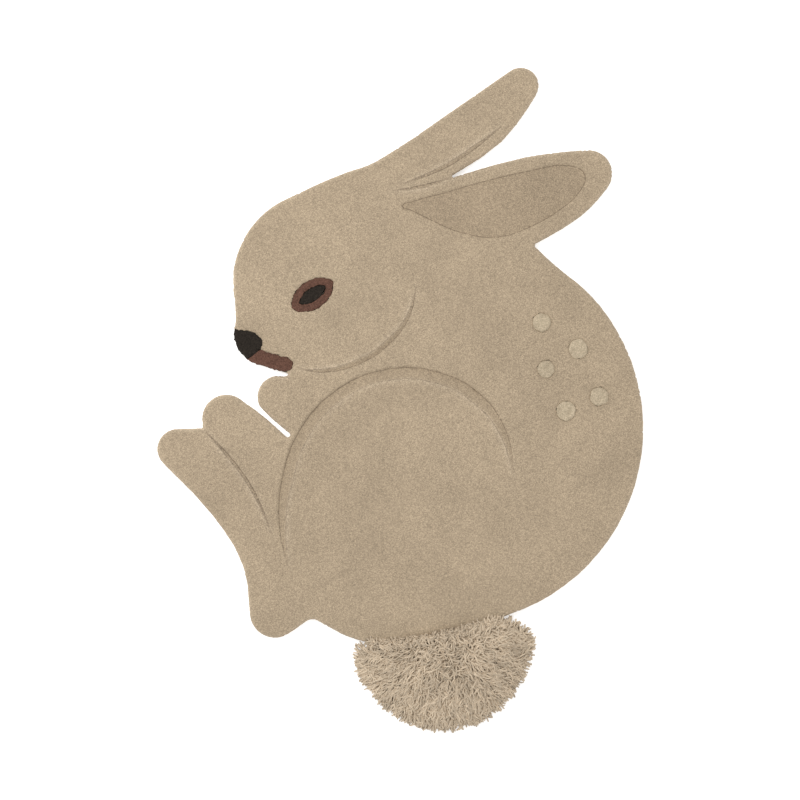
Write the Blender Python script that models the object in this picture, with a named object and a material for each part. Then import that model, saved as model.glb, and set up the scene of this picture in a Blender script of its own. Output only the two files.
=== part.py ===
"""Rabbit shaped rug for a child's room: tufted cut pile with carved lines, inlaid fields and a shaggy tail.

Metres, +Z up. The rug lies on the plane z = 0 with its pile up, and the origin is on its underside, near the
middle of the rug. +Y runs from the tail to the tips of the ears, and the rabbit faces -X.
"""

import math

import bmesh
import bpy
from mathutils import Vector, noise

MM = 0.001

# Heights, from the floor up.
BACKING = 2.5 * MM  # backing cloth that every pile field is tufted into
RUG_HEIGHT = 15 * MM  # backing and shorn pile
SPOT_RISE = 2.5 * MM  # how far the spots stand above the pile around them
# The shears' work.
EDGE_ROUND = 3.5 * MM
SPOT_ROUND = 6 * MM
CARVE_DEPTH = 4.5 * MM
EAR_POCKET_DEPTH = 3 * MM
# Pieces that meet keep this gap.
GAP = 0.35 * MM
CLEAR = 10 * MM  # how far a cutter reaches past the face it cuts

# The outline of the shorn pile, clockwise. An arc whose angle falls is a bulge, one whose angle rises is a
# hollow corner, and a radius of 0 is a single point.
# name, centre x and y and radius in mm, first and last angle in degrees
OUTLINE = [
    ("back", 86, -52, 353, 57, -67),
    ("tail_seat", 84, -418, 0, 0, 0),
    ("haunch_low", -66, -436, 0, 0, 0),
    ("hock", -158, -418, 22, 60, 130),
    ("heel", -226, -384, 45, -55, -178),
    ("sole_low", -283, -300, 0, 0, 0),
    ("sole_high", -341, -205, 0, 0, 0),
    ("near_toe", -402, -89, 36, 222, 86),
    ("toe_crotch", -359, -49, 3, 265, 350),
    ("far_toe", -314, -34, 43, 190, 48),
    ("far_instep", -250, -28, 0, 0, 0),
    ("paw_crotch", -203, -63, 5, 225, 405),
    ("forepaw", -220, 6, 37, 208, 76),
    ("chin_crotch", -205, 46, 3, 290, 430),
    ("muzzle", -240, 122, 60, 255, 160),
    ("forehead", -132, 210, 170, 173, 110),
    ("crown", -152, 640, 236, 283, 304),
    ("far_ear_outer", 92, 520, 0, 0, 0),
    ("far_ear_tip", 218, 568, 32, 128, -35),
    ("far_ear_inner", 184, 468, 0, 0, 0),
    ("ear_crotch", 97, 405, 3, 150, 285),
    ("near_ear_upper", 226, 438, 0, 0, 0),
    ("near_ear_tip", 341, 409, 42, 94, -38),
    ("near_ear_lower", 326, 332, 0, 0, 0),
    ("nape", 248, 279, 5, 130, 240),
]
ARC_STEP = 14  # degrees between two points of an arc
CURVE_STEPS = 3  # straight stretches between two points of an outline
RIM_STEPS = 2  # faces across the rounded rim of the shorn pile
DOME_STEPS = 4  # faces across the rounded rim of a spot

# Lines that the shears carve into the pile. One side of each is cut upright, and from the other the pile
# slopes down to it over the slope's width, to the right of the stroke's direction where it is positive.
# name, slope width in mm, points x and y in mm
STROKES = [
    ("haunch", 20, [(-204, -300), (-218, -226), (-213, -142), (-180, -52), (-112, 20), (-22, 56), (70, 50),
                    (148, 8), (194, -62), (206, -132)]),
    ("feet", 8, [(-356, -52), (-312, -96), (-262, -166), (-230, -244)]),
    ("jaw", -9, [(-186, 56), (-140, 50), (-76, 64), (-20, 100), (18, 152), (30, 206)]),
    ("ear_root", 9, [(-16, 378), (40, 388), (96, 403)]),
    ("far_ear", -10, [(0, 388), (76, 416), (136, 454), (184, 494)]),
]
STROKE_ENDS = (0.12, 0.6, 1.0)  # share of its full section that a stroke has at its end and the next points
STROKE_LEAN = 0.5  # how far a stroke's upright side leans out at the top of the cut, in mm

# The inner ear, shorn lower than the pile around it: a leaf, clockwise, x and y in mm.
EAR_POCKET = [(4, 350), (22, 358), (80, 374), (150, 394), (236, 414), (308, 423), (334, 407), (324, 376),
              (292, 346), (238, 314), (176, 294), (112, 302), (58, 324), (20, 343)]

# Fields of other yarn, clockwise, x and y in mm.
EYE_CENTRE = (-158, 190)
EYE_TILT = 34  # degrees
EYE_RIM_SIZE = (88, 52)
EYE_PUPIL_SIZE = (56, 23)
NOSE = [(-330, 124), (-288, 126), (-261, 120), (-249, 103), (-259, 86), (-292, 70), (-330, 74)]
MOUTH = [(-300, 104), (-262, 93), (-236, 85), (-214, 79), (-199, 74), (-193, 64), (-198, 55), (-209, 50),
         (-222, 46), (-262, 46), (-300, 50)]
# name, centre x and y, radius in mm
SPOTS = [
    ("spot_1", 256, 140, 17),
    ("spot_2", 322, 92, 18),
    ("spot_3", 264, 56, 16),
    ("spot_4", 360, 6, 17),
    ("spot_5", 300, -20, 18),
]
SPOT_SIDES = 28
EYE_POINTS = 24
EYE_SOFTNESS = 0.4  # 0 is an ellipse, and more draws its ends out to points

# The tail: a puff of long pile. Its plan is a rounded block that narrows away from the rug (mm, degrees).
TAIL_MIDDLE = (84, -491)
TAIL_HALF = (139, 94)  # half width and half length of its dense part, without the locks at its rim
TAIL_SQUARENESS = 2.4  # 2 is an ellipse, and more is squarer
TAIL_TAPER = 0.34  # how much wider its upper end is than its middle
TAIL_TILT = 7
TAIL_SEGMENTS = 80
TAIL_RINGS = (0.22, 0.44, 0.66, 0.85, 1)  # share of the way from its middle to its rim
TAIL_RIM_LEVELS = (20, 11.5)  # heights of its rim's upper edge and of the line between the two rows of locks
TAIL_TOP = 35  # height of its middle
TAIL_DOME = (2.4, 0.7)  # how late the top starts to fall from the middle, and how steeply it ends
LUMP = 3.5
LUMP_PITCH = 34
LUMP_FADE = 4  # how near the rim the lumps fade out
TONGUE_INSET = 24  # from the tail's rim to the backing under it
TONGUE_STEP = 12  # degrees
# The locks of yarn round the tail's free rim.
LOCK_LENGTH = (12, 21)
LOCK_TIP = 0.45  # width of a lock's tip, as a share of its root's
LOCK_INSET = 1.1  # from the edge of its stretch of the rim to the lock's root
LOCK_LEAN = 3
LOCK_SPREAD = (3, 4)  # pitch in mm of the unevenness of the locks' lengths and leans
UPPER_LOCK_DROP = 2
FREE_RIM = (148, 392)  # the directions in which the rim has locks, in degrees

SHARP_ANGLE = 35  # degrees
SAME_PLACE = 0.01 * MM
ROUGHNESS = 0.95
GROUND_COLOUR = (0.455, 0.362, 0.256)
TAIL_COLOUR = (0.51, 0.425, 0.32)
SPOT_COLOUR = (0.56, 0.46, 0.345)
BROWN = (0.125, 0.058, 0.040)
BLACK = (0.025, 0.022, 0.020)


def clear_scene():
    for obj in list(bpy.data.objects):
        bpy.data.objects.remove(obj)


def new_collection(name):
    collection = bpy.data.collections.new(name)
    bpy.context.scene.collection.children.link(collection)
    return collection


def wool(name, colour):
    """A matt wool material."""
    material = bpy.data.materials.new(name)
    material.use_nodes = True
    shader = material.node_tree.nodes["Principled BSDF"]
    shader.inputs["Base Color"].default_value = (*colour, 1)
    shader.inputs["Roughness"].default_value = ROUGHNESS
    shader.inputs["Metallic"].default_value = 0
    return material


def turned(x, y, degrees, about=(0, 0)):
    """A point turned about the origin and then moved, in mm."""
    a = math.radians(degrees)
    return (about[0] + x * math.cos(a) - y * math.sin(a),
            about[1] + x * math.sin(a) + y * math.cos(a))


def arc(x, y, radius, first, last):
    """Points of an arc, or its centre alone where it has no radius, in mm."""
    if not radius:
        return [(x, y)]
    steps = max(2, round(abs(last - first) / ARC_STEP))
    return [turned(radius, 0, first + (last - first) * i / steps, (x, y)) for i in range(steps + 1)]


def almond(size):
    """The outline of an eye, clockwise, in mm: an ellipse drawn out to soft points."""
    points = []
    for i in range(EYE_POINTS):
        a = -math.tau * i / EYE_POINTS
        y = size[1] / 2 * math.sin(a) * abs(math.sin(a)) ** EYE_SOFTNESS
        points.append(turned(size[0] / 2 * math.cos(a), y, EYE_TILT, EYE_CENTRE))
    return points


def bezier(name, points, cyclic):
    """A flat curve object that passes smoothly through points given in mm."""
    curve = bpy.data.curves.new(name, "CURVE")
    curve.dimensions = "2D"
    curve.resolution_u = CURVE_STEPS
    spline = curve.splines.new("BEZIER")
    spline.bezier_points.add(len(points) - 1)
    spline.use_cyclic_u = cyclic
    for bezier_point, (x, y) in zip(spline.bezier_points, points):
        bezier_point.co = (x * MM, y * MM, 0)
        bezier_point.handle_left_type = bezier_point.handle_right_type = "AUTO"
    obj = bpy.data.objects.new(name, curve)
    bpy.context.scene.collection.objects.link(obj)
    return obj


def mesh_object(name, form, collection):
    """Puts a bmesh into a new object and frees it."""
    mesh = bpy.data.meshes.new(name)
    form.to_mesh(mesh)
    form.free()
    obj = bpy.data.objects.new(name, mesh)
    collection.objects.link(obj)
    return obj


def to_mesh(curve_object, collection):
    """Turns a curve object into a closed mesh object of the same name, in place."""
    bpy.context.view_layer.update()
    graph = bpy.context.evaluated_depsgraph_get()
    mesh = bpy.data.meshes.new_from_object(curve_object.evaluated_get(graph))
    name = curve_object.name
    form = bmesh.new()
    form.from_mesh(mesh)
    form.transform(curve_object.matrix_world)
    bpy.data.objects.remove(curve_object)
    bpy.data.meshes.remove(mesh)
    bmesh.ops.remove_doubles(form, verts=form.verts, dist=SAME_PLACE)
    bmesh.ops.recalc_face_normals(form, faces=form.faces)
    return mesh_object(name, form, collection)


def plate(name, points, low, high, collection, grow=0):
    """A flat piece with the outline of points, between two heights, its outline moved outwards by grow."""
    obj = bezier(name, points, cyclic=True)
    obj.data.fill_mode = "BOTH"
    obj.data.extrude = (high - low) / 2
    obj.data.offset = grow
    obj.location.z = (high + low) / 2
    return to_mesh(obj, collection)


def helper(obj):
    """Marks an object that only cuts or shapes others."""
    obj.hide_render = True
    obj.display_type = "WIRE"
    return obj


def combine(obj, other, operation):
    modifier = obj.modifiers.new(f"{operation.lower()}_{other.name}", "BOOLEAN")
    modifier.operation = operation
    modifier.object = other


def round_rim(obj, height, radius, segments):
    """Rounds the rim of the flat top face, which lies at this height."""
    form = bmesh.new()
    form.from_mesh(obj.data)
    rim = [edge for edge in form.edges
           if all(abs(vert.co.z - height) < SAME_PLACE for vert in edge.verts)
           and any(abs(face.normal.z) < 0.5 for face in edge.link_faces)]
    bmesh.ops.bevel(form, geom=rim, offset=radius, segments=segments, profile=0.5, affect="EDGES",
                    clamp_overlap=True)
    form.to_mesh(obj.data)
    form.free()


def stroke_section(slope):
    """The section of a stroke, as a flat curve object: upright on one side and sloping on the other."""
    depth, clear = CARVE_DEPTH / MM, CLEAR / MM
    corners = [(-STROKE_LEAN, clear), (0, -depth), (abs(slope), 0), (abs(slope) * (1 + clear / depth), clear)]
    if slope < 0:
        corners = [(-x, y) for x, y in reversed(corners)]
    curve = bpy.data.curves.new("stroke_section", "CURVE")
    curve.dimensions = "2D"
    spline = curve.splines.new("POLY")
    spline.points.add(len(corners) - 1)
    spline.use_cyclic_u = True
    for point, (x, y) in zip(spline.points, corners):
        point.co = (x * MM, y * MM, 0, 1)
    obj = bpy.data.objects.new("stroke_section", curve)
    bpy.context.scene.collection.objects.link(obj)
    return obj


def carving_stroke(name, slope, points, collection):
    """The pile that one stroke of the shears takes away, shallow at both ends."""
    section = stroke_section(slope)
    stroke = bezier(name, points, cyclic=False)
    stroke.data.bevel_mode = "OBJECT"
    stroke.data.bevel_object = section
    stroke.data.use_fill_caps = True
    stroke.location.z = RUG_HEIGHT
    last = len(points) - 1
    for i, bezier_point in enumerate(stroke.data.splines[0].bezier_points):
        from_end = min(i, last - i)
        bezier_point.radius = STROKE_ENDS[min(from_end, len(STROKE_ENDS) - 1)]
    made = to_mesh(stroke, collection)
    bpy.data.objects.remove(section)
    return helper(made)


def inlay(name, points, ground, slab, within, rug, cutters):
    """A field of other yarn: the slab's own shape within an outline, over the backing. Its pocket is cut
    into the ground and into the fields listed in within."""
    floor = BACKING + GAP
    piece = plate(name, points, floor, RUG_HEIGHT + CLEAR, rug)
    combine(piece, slab, "INTERSECT")
    pocket = helper(plate(f"{name}_pocket", points, BACKING, RUG_HEIGHT + CLEAR, cutters, GAP))
    for around in [ground, *within]:
        combine(around, pocket, "DIFFERENCE")
    return piece


def disc(name, x, y, radius, low, high, collection):
    form = bmesh.new()
    bmesh.ops.create_cone(form, cap_ends=True, segments=SPOT_SIDES, radius1=radius, radius2=radius,
                          depth=high - low)
    bmesh.ops.translate(form, vec=(x * MM, y * MM, (high + low) / 2), verts=form.verts)
    return mesh_object(name, form, collection)


def spot(name, x, y, radius, ground, rug, cutters):
    """A round field of paler yarn, shorn to a low dome that stands above the ground."""
    top = RUG_HEIGHT + SPOT_RISE
    piece = disc(name, x, y, radius * MM, BACKING + GAP, top, rug)
    round_rim(piece, top, SPOT_ROUND, DOME_STEPS)
    pocket = helper(disc(f"{name}_pocket", x, y, radius * MM + GAP, BACKING, top + CLEAR, cutters))
    combine(ground, pocket, "DIFFERENCE")
    return piece


def tail_plan(angle, share=1.0, inset=0.0):
    """A point of the tail's plan in mm, in a direction from its middle and a share of the way to its rim."""
    a, power = math.radians(angle), 2 / TAIL_SQUARENESS
    x = (TAIL_HALF[0] - inset) * math.copysign(abs(math.cos(a)) ** power, math.cos(a))
    y = (TAIL_HALF[1] - inset) * math.copysign(abs(math.sin(a)) ** power, math.sin(a))
    x *= 1 + TAIL_TAPER * y / TAIL_HALF[1]
    return turned(x * share, y * share, TAIL_TILT, TAIL_MIDDLE)


def tail_height(x, y, share):
    """Height of the tail's lumpy top, in mm."""
    late, steep = TAIL_DOME
    dome = TAIL_RIM_LEVELS[0] + (TAIL_TOP - TAIL_RIM_LEVELS[0]) * (1 - share ** late) ** steep
    lump = LUMP * noise.noise(Vector((x, y, 0)) / LUMP_PITCH)
    return dome + lump * (1 - share ** LUMP_FADE)


def tail_slab():
    """The dense part of the tail as a bmesh, and the faces of its rim: an upper and a lower row."""
    form = bmesh.new()
    floor = (BACKING + GAP) / MM

    def ring(share, height=None):
        made = []
        for i in range(TAIL_SEGMENTS):
            x, y = tail_plan(360 * i / TAIL_SEGMENTS, share)
            z = tail_height(x, y, share) if height is None else height
            made.append(form.verts.new((x * MM, y * MM, z * MM)))
        return made

    rings = [ring(share) for share in TAIL_RINGS]
    rings += [ring(1, height) for height in (TAIL_RIM_LEVELS[1], floor)]
    rows = []
    for upper, lower in zip(rings, rings[1:]):
        rows.append([form.faces.new((upper[i - 1], lower[i - 1], lower[i], upper[i]))
                     for i in range(TAIL_SEGMENTS)])
    x, y = TAIL_MIDDLE
    peak = form.verts.new((x * MM, y * MM, tail_height(x, y, 0) * MM))
    for i in range(TAIL_SEGMENTS):
        form.faces.new((peak, rings[0][i - 1], rings[0][i]))
    form.faces.new(list(reversed(rings[-1])))
    form.normal_update()
    return form, rows[-2], rows[-1]


def grow_locks(form, row, to_floor):
    """Draws a lock of yarn out of each free face of a row of the rim, down to the floor or a little way."""
    first, last = FREE_RIM
    for i, face in enumerate(row):
        direction = 360 * (i - 0.5) / TAIL_SEGMENTS
        if not (first < direction < last or direction + 360 < last):
            continue
        middle = face.calc_center_median()
        out = face.normal.copy()
        side = Vector((-out.y, out.x, 0))
        shortest, longest = LOCK_LENGTH
        share = min(1, max(0, 0.5 + noise.noise(middle / (LOCK_SPREAD[0] * MM))))
        reach = out * (shortest + (longest - shortest) * share)
        lean = side * LOCK_LEAN * noise.noise(middle / (LOCK_SPREAD[1] * MM) + Vector((7, 3, 1)))
        bmesh.ops.inset_individual(form, faces=[face], thickness=LOCK_INSET * MM)
        tip = bmesh.ops.extrude_discrete_faces(form, faces=[face])["faces"][0]
        centre = tip.calc_center_median()
        for vert in tip.verts:
            vert.co = centre + (vert.co - centre) * LOCK_TIP + (reach + lean) * MM
        drop = min(vert.co.z for vert in tip.verts) if to_floor else UPPER_LOCK_DROP * MM
        bmesh.ops.translate(form, verts=tip.verts, vec=(0, 0, -drop))


def shag_tail(name, outline, collection, cutters):
    """The tail: long pile over a tongue of the backing, against the edge of the shorn pile."""
    form, upper, lower = tail_slab()
    grow_locks(form, upper, to_floor=False)
    grow_locks(form, lower, to_floor=True)
    tail = mesh_object(name, form, collection)
    shorn_pile = plate("shorn_pile", outline, -CLEAR, TAIL_TOP * MM + CLEAR, cutters, GAP)
    combine(tail, helper(shorn_pile), "DIFFERENCE")
    return tail


def finish_piece(obj, material):
    obj.data.materials.clear()
    obj.data.materials.append(material)
    obj.data.shade_smooth()
    obj.data.set_sharp_from_angle(angle=math.radians(SHARP_ANGLE))


def main():
    clear_scene()
    rug = new_collection("rabbit_rug")
    cutters = new_collection("cutters")

    outline = [point for _, *row in OUTLINE for point in arc(*row)]
    ground = plate("rug_ground", outline, 0, RUG_HEIGHT, rug)
    round_rim(ground, RUG_HEIGHT, EDGE_ROUND, RIM_STEPS)
    slab = helper(bpy.data.objects.new("slab_form", ground.data.copy()))
    cutters.objects.link(slab)
    for name, slope, points in STROKES:
        combine(ground, carving_stroke(f"stroke_{name}", slope, points, cutters), "DIFFERENCE")
    shorn_ear = plate("ear_pocket", EAR_POCKET, RUG_HEIGHT - EAR_POCKET_DEPTH, RUG_HEIGHT + CLEAR, cutters)
    combine(ground, helper(shorn_ear), "DIFFERENCE")

    eye_rim = inlay("eye_rim", almond(EYE_RIM_SIZE), ground, slab, [], rug, cutters)
    eye_pupil = inlay("eye_pupil", almond(EYE_PUPIL_SIZE), ground, slab, [eye_rim], rug, cutters)
    mouth = inlay("mouth", MOUTH, ground, slab, [], rug, cutters)
    nose = inlay("nose", NOSE, ground, slab, [mouth], rug, cutters)
    spots = [spot(*row, ground, rug, cutters) for row in SPOTS]

    tail = shag_tail("tail_shag", outline, rug, cutters)
    around = range(0, 360, TONGUE_STEP)
    tongue_outline = [tail_plan(-angle, inset=TONGUE_INSET) for angle in around]
    combine(ground, helper(plate("tongue", tongue_outline, 0, BACKING, cutters)), "UNION")

    finish_piece(ground, wool("ground_wool", GROUND_COLOUR))
    finish_piece(tail, wool("tail_wool", TAIL_COLOUR))
    brown, black, pale = wool("brown_wool", BROWN), wool("black_wool", BLACK), wool("spot_wool", SPOT_COLOUR)
    for piece, material in [(eye_rim, brown), (mouth, brown), (eye_pupil, black), (nose, black)]:
        finish_piece(piece, material)
    for piece in spots:
        finish_piece(piece, pale)


main()
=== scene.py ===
"""Looks of the rabbit shaped rug: tufted pile on every field, wavy yarn on the tail, and studio light.

Metres, +Z up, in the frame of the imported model. The photograph is taken from straight above, with +Y up
in it.
"""

import math

import bmesh
import bpy
import numpy as np
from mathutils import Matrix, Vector
from mathutils.bvhtree import BVHTree
from mathutils.kdtree import KDTree


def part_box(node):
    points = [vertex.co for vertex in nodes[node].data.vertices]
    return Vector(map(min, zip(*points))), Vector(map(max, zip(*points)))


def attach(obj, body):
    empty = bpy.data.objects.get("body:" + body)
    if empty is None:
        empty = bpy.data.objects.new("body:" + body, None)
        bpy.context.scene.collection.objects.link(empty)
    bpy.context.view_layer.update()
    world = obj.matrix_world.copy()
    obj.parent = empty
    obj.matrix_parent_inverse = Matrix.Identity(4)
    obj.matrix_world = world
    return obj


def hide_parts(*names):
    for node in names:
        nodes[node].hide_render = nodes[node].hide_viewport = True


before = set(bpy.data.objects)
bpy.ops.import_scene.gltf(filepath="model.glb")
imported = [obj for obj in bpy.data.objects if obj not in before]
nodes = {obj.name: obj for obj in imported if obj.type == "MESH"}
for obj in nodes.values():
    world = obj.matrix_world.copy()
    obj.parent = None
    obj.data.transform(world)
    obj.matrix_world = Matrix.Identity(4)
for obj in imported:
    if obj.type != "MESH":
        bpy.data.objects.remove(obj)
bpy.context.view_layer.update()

MM = 0.001
SEED = 7
INLAYS = ["eye_rim", "eye_pupil", "nose", "mouth"]
SPOTS = ["spot_1", "spot_2", "spot_3", "spot_4", "spot_5"]

# The rug's levels, read from the frame.
RUG_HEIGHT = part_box("rug_ground")[1][2]
SPOT_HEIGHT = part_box("spot_1")[1][2]
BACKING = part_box("nose")[0][2]
WALL_LEVEL = 8 * MM  # every field has upright walls at this height
TAIL_LEVEL = 19.5 * MM  # over the locks of the tail's rim

# Numbers that look random, the same in each run.
NOISE_TABLE = 256  # values along each side of the table of a noise, after which it repeats


def draws(name):
    return np.random.default_rng([SEED, *name.encode()])


def value_noise(xy, pitch, name):
    """Smooth noise from -1 to 1 over places in the plane, with lumps of this pitch."""
    table = draws(name).uniform(-1, 1, (NOISE_TABLE, NOISE_TABLE))
    cell = np.floor(xy / pitch).astype(int)
    part = xy / pitch - cell
    part = part * part * (3 - 2 * part)
    x, y = cell[:, 0], cell[:, 1]
    u, v = part[:, 0], part[:, 1]

    def corner(i, j):
        return table[(x + i) % NOISE_TABLE, (y + j) % NOISE_TABLE]

    low = corner(0, 0) * (1 - u) + corner(1, 0) * u
    high = corner(0, 1) * (1 - u) + corner(1, 1) * u
    return low * (1 - v) + high * v


# Reading the frame.
SAME_PLACE = 0.001 * MM  # vertices nearer than this are joined
NO_FACING = 1e-14  # square metres; a triangle that shows less than this from the side is level
SECTION_STEP = 0.5 * MM  # how far apart the points along a wall lie, at most
OVERHEAD = 0.1  # metres, over all of the rug
LEVEL = 0.99  # a face counts as level when its normal points up by at least this


def welded(name):
    """A CAD node's mesh as a bmesh with its vertices joined."""
    form = bmesh.new()
    form.from_mesh(nodes[name].data)
    bmesh.ops.remove_doubles(form, verts=form.verts, dist=SAME_PLACE)
    return form


def triangles(name):
    """A CAD node's triangles as an array of shape (count, 3 corners, 3)."""
    mesh = nodes[name].data
    mesh.calc_loop_triangles()
    points = np.empty(len(mesh.vertices) * 3)
    mesh.vertices.foreach_get("co", points)
    corners = np.empty(len(mesh.loop_triangles) * 3, int)
    mesh.loop_triangles.foreach_get("vertices", corners)
    return points.reshape(-1, 3)[corners].reshape(-1, 3, 3)


def wall_triangles(name, level):
    """The triangles of a node's walls that a level cuts, and the directions in which they face."""
    tri = triangles(name)
    above = tri[:, :, 2] > level
    tri = tri[above.any(1) & ~above.all(1)]
    facing = np.cross(tri[:, 1] - tri[:, 0], tri[:, 2] - tri[:, 0])[:, :2]
    keep = np.linalg.norm(facing, axis=1) > NO_FACING
    tri, facing = tri[keep], facing[keep]
    return tri, facing / np.linalg.norm(facing, axis=1)[:, None]


def section(name, level):
    """Points along a node's walls at a level, and the directions in which the walls face."""
    tri, facing = wall_triangles(name, level)
    ends = np.full((len(tri), 3, 2), np.nan)
    for i, j in ((0, 1), (1, 2), (2, 0)):
        from_level, to_level = tri[:, i, 2] - level, tri[:, j, 2] - level
        crossed = from_level * to_level < 0
        share = np.zeros(len(tri))
        np.divide(from_level, from_level - to_level, out=share, where=crossed)
        at = tri[:, i, :2] + share[:, None] * (tri[:, j, :2] - tri[:, i, :2])
        ends[crossed, i] = at[crossed]
    order = np.argsort(np.isnan(ends[:, :, 0]), axis=1, kind="stable")[:, :2]
    ends = np.take_along_axis(ends, order[:, :, None], axis=1)
    length = np.linalg.norm(ends[:, 1] - ends[:, 0], axis=1)
    count = np.maximum(1, np.ceil(length / SECTION_STEP).astype(int))
    which = np.repeat(np.arange(len(tri)), count)
    step = np.arange(len(which)) - np.repeat(np.cumsum(count) - count, count)
    share = ((step + 0.5) / count[which])[:, None]
    points = ends[which, 0] * (1 - share) + ends[which, 1] * share
    return points, facing[which]


def tops(name, xy):
    """Height of a node's top under each place, 0 where there is none, and whether it is level there."""
    form = welded(name)
    tree = BVHTree.FromBMesh(form)
    form.free()
    down = Vector((0, 0, -1))
    hits = [tree.ray_cast((x, y, OVERHEAD), down) for x, y in xy]
    heights = np.array([hit[0].z if hit[0] else 0 for hit in hits])
    return heights, np.array([bool(hit[0]) and hit[1].z > LEVEL for hit in hits])


# Rims of the rug and of its fields.
SQUARE_ON = 1.5 * MM  # up to this distance from a rim a depth is measured square to it
SHARED_BORDER = 0.9 * MM  # walls of two fields that lie nearer than this are a border between them


class Places:
    """Places in the plane, to find the nearest of them."""

    def __init__(self, points):
        self.points = points
        self.tree = KDTree(len(points))
        for i, (x, y) in enumerate(points):
            self.tree.insert((x, y, 0), i)
        self.tree.balance()

    def nearest(self, xy):
        """The number of the place nearest to each of these, and its distance."""
        found = [self.tree.find((x, y, 0)) for x, y in xy]
        return np.array([f[1] for f in found]), np.array([f[2] for f in found])


class Rim(Places):
    """The rim of a field, as points along it with the directions outwards."""

    def __init__(self, points, outwards):
        super().__init__(points)
        self.outwards = outwards

    def depth(self, xy):
        """How far inside the rim each place lies, below 0 outside it, and the direction outwards there."""
        index, distance = self.nearest(xy)
        outwards = self.outwards[index]
        along = ((self.points[index] - xy) * outwards).sum(1)
        return np.where(distance < SQUARE_ON, along, np.sign(along) * distance), outwards


def rug_rim(names):
    """The rim of several fields taken together, without the borders between them."""
    sections = {name: section(name, WALL_LEVEL) for name in names}
    rims = {name: Rim(*found) for name, found in sections.items()}
    kept_points, kept_outwards = [], []
    for name, (points, outwards) in sections.items():
        outer = np.ones(len(points), bool)
        for other, rim in rims.items():
            if other != name:
                outer &= rim.nearest(points)[1] > SHARED_BORDER
        kept_points.append(points[outer])
        kept_outwards.append(outwards[outer])
    return Rim(np.concatenate(kept_points), np.concatenate(kept_outwards))


whole_rim = rug_rim(["rug_ground", *INLAYS, *SPOTS])
inlay_rims = {name: Rim(*section(name, WALL_LEVEL)) for name in INLAYS + SPOTS}
tail_rim = Rim(*section("tail_shag", TAIL_LEVEL))

# Carved lines, as places along them. Each has one row with these columns.
X_Y = slice(0, 2)
HEIGHT = 2
STRENGTH = 3  # from 0 to 1, how dark the line's painted shade is there
UPPER = 4  # 1 on a slope's upper edge, 0 at the bottom of a line

EDGE_ROUND = 3.5 * MM  # how far the rug's own rim is rounded
CARVE_DEPTH = 4.5 * MM
LINE_DEPTH = 2.2 * MM  # from this depth on a carved line has its full strength
IN_SHADE = 0.35  # share of its darkness that the deepest line gets from its own shade
UPPER_LINE = 0.8  # strength along a slope's upper edge, as a share of that at its bottom
CREASE_ANGLE = math.radians(10)  # edges that bend less lie within one surface
CREASE_STEP = 0.4 * MM
BOTTOM_LEVELS = (BACKING + 2 * MM, RUG_HEIGHT - 0.3 * MM)  # inward edges between these are lines' bottoms
UPPER_LEVEL = RUG_HEIGHT - 0.1 * MM  # slopes' upper edges lie above this
GENTLE = 0.6  # a face is a slope, and no wall, when its normal points up by at least this
CREASE_MARGIN = 1.6 * EDGE_ROUND  # lines end this far inside the rug's rim


def crease_kind(edge):
    """Whether an edge of the ground is the bottom of a carved line, a slope's upper edge or neither."""
    if len(edge.link_faces) != 2 or edge.calc_face_angle() < CREASE_ANGLE:
        return None
    low, high = sorted(vert.co.z for vert in edge.verts)
    steeper, flatter = sorted(abs(face.normal.z) for face in edge.link_faces)
    if not edge.is_convex and low > BOTTOM_LEVELS[0] and high < BOTTOM_LEVELS[1]:
        return "bottom"
    if edge.is_convex and low > UPPER_LEVEL and flatter > LEVEL and steeper > GENTLE:
        return "upper"
    return None


def crease_row(place, kind):
    """The row of one place. Painted shade grows with a line's depth, less what its own shadow adds in a
    render.
    """
    deep = RUG_HEIGHT - place.z
    strength = min(1, deep / LINE_DEPTH) * (1 - IN_SHADE * deep / CARVE_DEPTH)
    return *place, strength, kind == "upper"


def creases(name, rim):
    """The rows of all carved lines. An upper edge takes its strength from the bottom nearest to it."""
    form = welded(name)
    rows = []
    for edge in form.edges:
        kind = crease_kind(edge)
        if kind is None:
            continue
        a, b = (vert.co for vert in edge.verts)
        steps = max(1, math.ceil((b - a).length / CREASE_STEP))
        for i in range(steps):
            rows.append(crease_row(a.lerp(b, (i + 0.5) / steps), kind))
    form.free()
    rows = np.array(rows)
    upper = rows[:, UPPER] > 0
    lower = rows[~upper]
    below = Places(lower[:, X_Y]).nearest(rows[upper, X_Y])[0]
    rows[upper, STRENGTH] = lower[below, STRENGTH] * UPPER_LINE
    return rows[rim.depth(rows[:, X_Y])[0] > CREASE_MARGIN]


# Making pieces.
def mesh_piece(name, points, faces, material):
    mesh = bpy.data.meshes.new(name)
    mesh.from_pydata(points.tolist(), [], faces)
    mesh.materials.append(material)
    mesh.shade_smooth()
    obj = bpy.data.objects.new(name, mesh)
    bpy.context.scene.collection.objects.link(obj)
    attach(obj, "root")
    return obj


def give_attribute(obj, name, values):
    """A number for each vertex, which the piece's material reads by this name."""
    obj.data.attributes.new(name, "FLOAT", "POINT").data.foreach_set("value", values)


def close_bottom(obj):
    """Fills a piece's open underside, facing down."""
    form = bmesh.new()
    form.from_mesh(obj.data)
    open_edges = [edge for edge in form.edges if edge.is_boundary]
    made = bmesh.ops.triangle_fill(form, use_beauty=False, use_dissolve=False, edges=open_edges)
    fill = [item for item in made["geom"] if isinstance(item, bmesh.types.BMFace)]
    for face in fill:
        face.smooth = False
    bmesh.ops.reverse_faces(form, faces=[face for face in fill if face.normal.z > 0])
    form.to_mesh(obj.data)
    form.free()


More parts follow.
